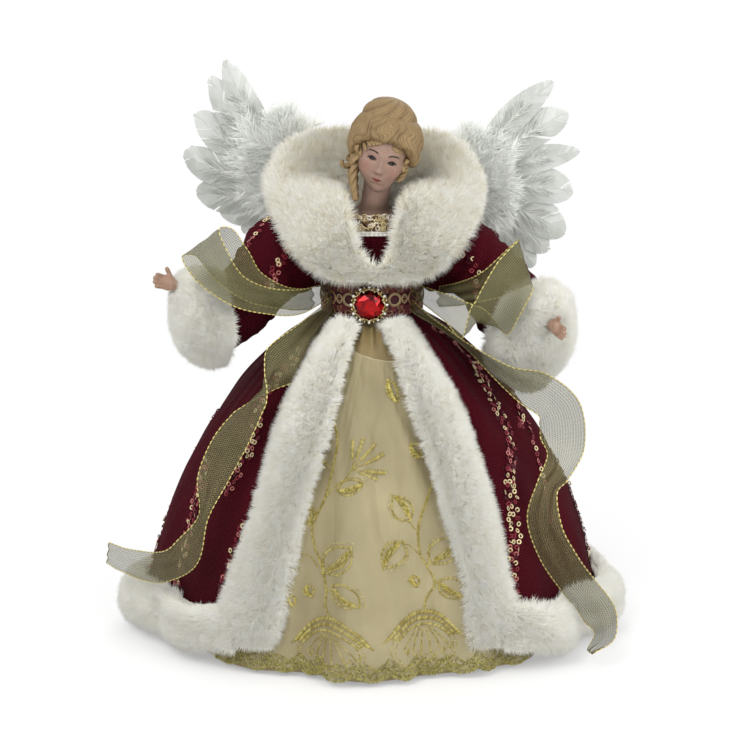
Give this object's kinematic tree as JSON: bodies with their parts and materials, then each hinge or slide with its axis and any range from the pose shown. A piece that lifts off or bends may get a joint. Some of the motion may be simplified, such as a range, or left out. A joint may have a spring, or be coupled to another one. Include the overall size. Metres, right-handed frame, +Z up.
{
  "type": "angel figurine",
  "caption": "Angel doll with feather wings, a fur-trimmed burgundy coat, an embroidered satin skirt and gold ribbon bows, on a hollow cone that stands or fits over a tree tip",
  "frame": {"origin": "centre of the cone's open mouth, on the plane that its rim stands on", "axes": "+Z up along the cone, the figure faces -Y, +X to the viewer's right"},
  "size_m": [0.2925, 0.2249, 0.3244],
  "materials": {
    "card": "plain card, matt",
    "foam": "white foam core, matt",
    "felt": "cream felt",
    "burgundy_cloth": "plain-weave burgundy cloth with ring sequins",
    "belt_lace": "burgundy lace braid with gold thread",
    "gilt_braid": "gilt braid with small beads",
    "satin": "champagne satin, soft sheen",
    "embroidered_organza": "sheer organza with gold floral embroidery",
    "fur": "cream faux fur, short dense pile",
    "painted_resin": "painted resin, satin",
    "steel_wire": "soft steel wire",
    "gold_organza": "sheer olive-gold ribbon with gold wired edges",
    "gilt_metal": "pale gilt, bright",
    "red_gem": "faceted clear red acrylic",
    "taped_wire": "wire bound with white paper tape",
    "down": "fluffy white down",
    "feather": "white quill feather"
  },
  "bodies": {
    "figure": {"base_cone": "card", "torso_core": "foam", "wing_pad": "felt", "bodice": "burgundy_cloth", "coat_left_panel": "burgundy_cloth", "coat_right_panel": "burgundy_cloth", "coat_back_panel": "burgundy_cloth", "belt_braid": "belt_lace", "neckline_trim": "gilt_braid", "satin_underskirt": "satin", "embroidered_overskirt": "embroidered_organza", "fur_collar": "fur", "left_front_fur": "fur", "right_front_fur": "fur", "hem_fur": "fur", "head_bust": "painted_resin", "left_ribbon_loop": "gold_organza", "right_ribbon_loop": "gold_organza", "left_ribbon_tail": "gold_organza", "right_ribbon_tail": "gold_organza", "brooch_setting": "gilt_metal", "brooch_gem": "red_gem"},
    "left_arm": {"left_arm_wire": "steel_wire", "left_sleeve": "burgundy_cloth", "left_cuff": "fur", "left_hand": "painted_resin"},
    "right_arm": {"right_arm_wire": "steel_wire", "right_sleeve": "burgundy_cloth", "right_cuff": "fur", "right_hand": "painted_resin"},
    "left_wing": {"left_wing_stem": "taped_wire", "left_wing_down": "down", "left_wing_feather_1": "feather", "left_wing_feather_2": "feather", "left_wing_feather_3": "feather", "left_wing_feather_4": "feather", "left_wing_feather_5": "feather", "left_wing_feather_6": "feather", "left_wing_feather_7": "feather"},
    "right_wing": {"right_wing_stem": "taped_wire", "right_wing_down": "down", "right_wing_feather_1": "feather", "right_wing_feather_2": "feather", "right_wing_feather_3": "feather", "right_wing_feather_4": "feather", "right_wing_feather_5": "feather", "right_wing_feather_6": "feather", "right_wing_feather_7": "feather"}
  },
  "joints": [
    {"name": "left_arm_swing", "type": "hinge", "parent": "figure", "child": "left_arm", "pos_m": [-0.024, 0, 0.232], "axis": [0, 0, -1], "range_deg": [0, 30]},
    {"name": "right_arm_swing", "type": "hinge", "parent": "figure", "child": "right_arm", "pos_m": [0.024, 0, 0.232], "axis": [0, 0, 1], "range_deg": [0, 30]},
    {"name": "left_wing_sweep", "type": "hinge", "parent": "figure", "child": "left_wing", "pos_m": [-0.009, 0.029, 0.22], "axis": [0, 0, -1], "range_deg": [-4, 35]},
    {"name": "right_wing_sweep", "type": "hinge", "parent": "figure", "child": "right_wing", "pos_m": [0.009, 0.029, 0.22], "axis": [0, 0, 1], "range_deg": [-4, 35]}
  ]
}
